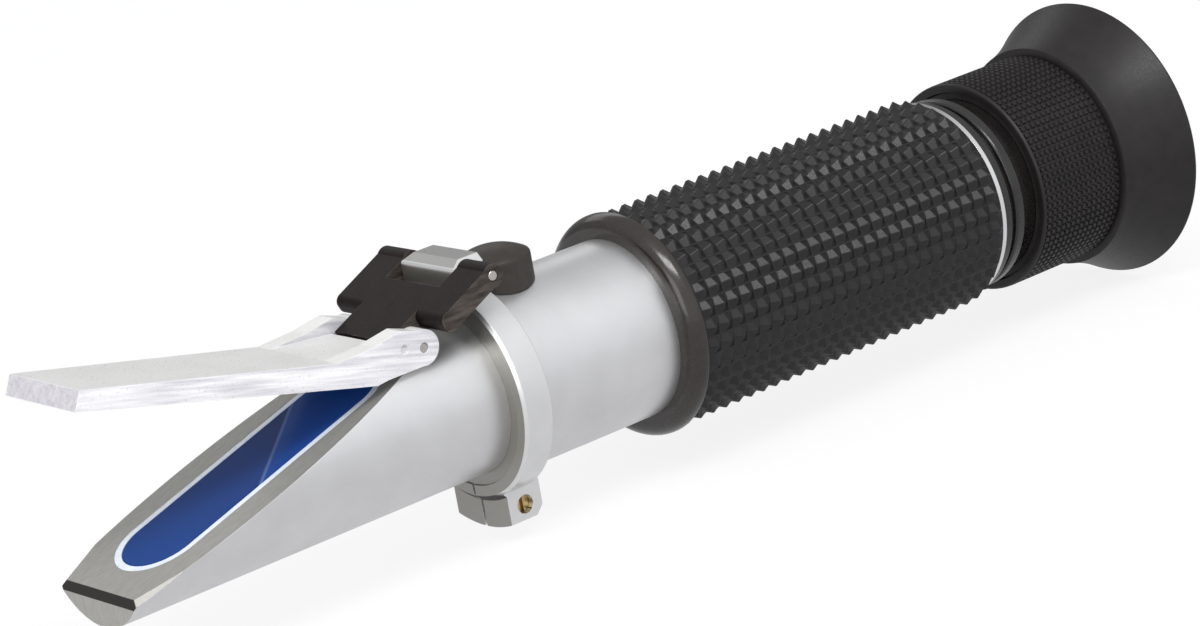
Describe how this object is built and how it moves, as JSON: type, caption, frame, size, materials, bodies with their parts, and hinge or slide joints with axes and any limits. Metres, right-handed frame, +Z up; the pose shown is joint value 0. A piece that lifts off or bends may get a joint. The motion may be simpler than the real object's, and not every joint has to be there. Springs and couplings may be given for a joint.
{
  "type": "refractometer",
  "caption": "Handheld refractometer: slanted prism face under a hinged clear daylight plate, split clamp ring, ribbed grip and a flared focusing eyecup.",
  "frame": {"origin": "on the optical axis, at the front face of the grip's collar, where the bare barrel enters the grip", "axes": "+X along the barrel from the prism tip to the eyecup, +Z up, away from the clamp screw, with the measuring face and its plate on the upper side, +Y across, along the hinge pins"},
  "size_m": [0.176, 0.0398, 0.0406],
  "materials": {
    "satin_aluminium": "fine turned, satin",
    "machined_aluminium": "satin round sides, milled slope",
    "bright_ring": "bright turned",
    "prism_glass": "polished, blue",
    "cement": "cured cement, slightly uneven",
    "brass": "turned, slotted",
    "pin_steel": "ground",
    "black_link": "matte black",
    "clear_plastic": "clear, frosted on the underside",
    "black_gloss": "gloss black",
    "grip_rubber": "moulded, rows of small pyramids",
    "cup_rubber": "moulded, fine square knurl",
    "cap_rubber": "smooth moulded",
    "inner_black": "black anodised",
    "lens_glass": "polished",
    "bimetal": "rolled strip"
  },
  "bodies": {
    "barrel": {"barrel_tube": "satin_aluminium", "prism_housing": "machined_aluminium", "measuring_prism": "prism_glass", "prism_cement": "cement", "clamp_ring": "satin_aluminium", "clamp_screw": "brass", "grip_collar": "black_gloss", "grip_sleeve": "grip_rubber", "grip_end_ring": "bright_ring", "eyepiece_tube": "black_gloss", "guide_pin": "pin_steel", "calibration_bush": "satin_aluminium", "carriage_spring": "pin_steel", "carriage_stop_ring": "inner_black", "scale_cell": "inner_black", "scale_disc": "lens_glass", "scale_ring": "inner_black"},
    "lid_pin": {"rear_hinge_pin": "pin_steel"},
    "lid_link": {"hinge_link": "black_link"},
    "plate_pin": {"front_hinge_pin": "pin_steel"},
    "plate": {"daylight_plate": "clear_plastic"},
    "ocular": {"ocular_cell": "inner_black", "field_lens": "lens_glass", "field_lens_ring": "inner_black", "eye_lens": "lens_glass", "eye_lens_ring": "inner_black"},
    "focus": {"focus_sleeve": "inner_black", "focus_retainer": "inner_black", "eyecup": "cup_rubber"},
    "carriage": {"lens_carriage": "inner_black", "objective_lens": "lens_glass", "objective_ring": "inner_black", "bimetal_strip": "bimetal", "strip_screws": "pin_steel"},
    "adjuster": {"calibration_screw": "brass"},
    "cap": {"calibration_cap": "cap_rubber"}
  },
  "joints": [
    {"name": "lid_swing", "type": "hinge", "parent": "barrel", "child": "lid_pin", "pos_m": [-0.0262, 0, 0.01675], "axis": [0, 1, 0], "range_deg": [0, 110]},
    {"name": "lid_close", "type": "hinge", "parent": "lid_pin", "child": "lid_link", "pos_m": [-0.0262, 0, 0.01675], "axis": [0, 1, 0], "range_deg": [0, 12.63]},
    {"name": "plate_follow", "type": "hinge", "parent": "lid_link", "child": "plate_pin", "pos_m": [-0.03665, 0, 0.0104], "axis": [0, 1, 0], "range_deg": [-44.3, 0]},
    {"name": "plate_tilt", "type": "hinge", "parent": "plate_pin", "child": "plate", "pos_m": [-0.03665, 0, 0.0104], "axis": [0, 1, 0], "range_deg": [0, 45]},
    {"name": "focus_slide", "type": "slide", "parent": "barrel", "child": "ocular", "axis": [1, 0, 0], "range_m": [-0.002, 0.004]},
    {"name": "focus_turn", "type": "hinge", "parent": "ocular", "child": "focus", "pos_m": [0.0745, 0, 0], "axis": [1, 0, 0], "range_deg": [-120, 240]},
    {"name": "carriage_lift", "type": "slide", "parent": "barrel", "child": "carriage", "axis": [0, 0, 1], "range_m": [-0.00025, 0.00025]},
    {"name": "calibration_turn", "type": "hinge", "parent": "carriage", "child": "adjuster", "pos_m": [-0.0178, 0, 0.0136], "axis": [0, 0, 1], "range_deg": [-180, 180]},
    {"name": "cap_pull", "type": "slide", "parent": "barrel", "child": "cap", "axis": [0, 0, 1], "range_m": [0, 0.008]}
  ],
  "couplings": [
    {"joint": "plate_follow", "follows": "lid_close", "ratio": -3.5044},
    {"joint": "focus_slide", "follows": "focus_turn", "m_per_rad": 0.0009549},
    {"joint": "calibration_turn", "follows": "carriage_lift", "rad_per_m": 12566}
  ]
}
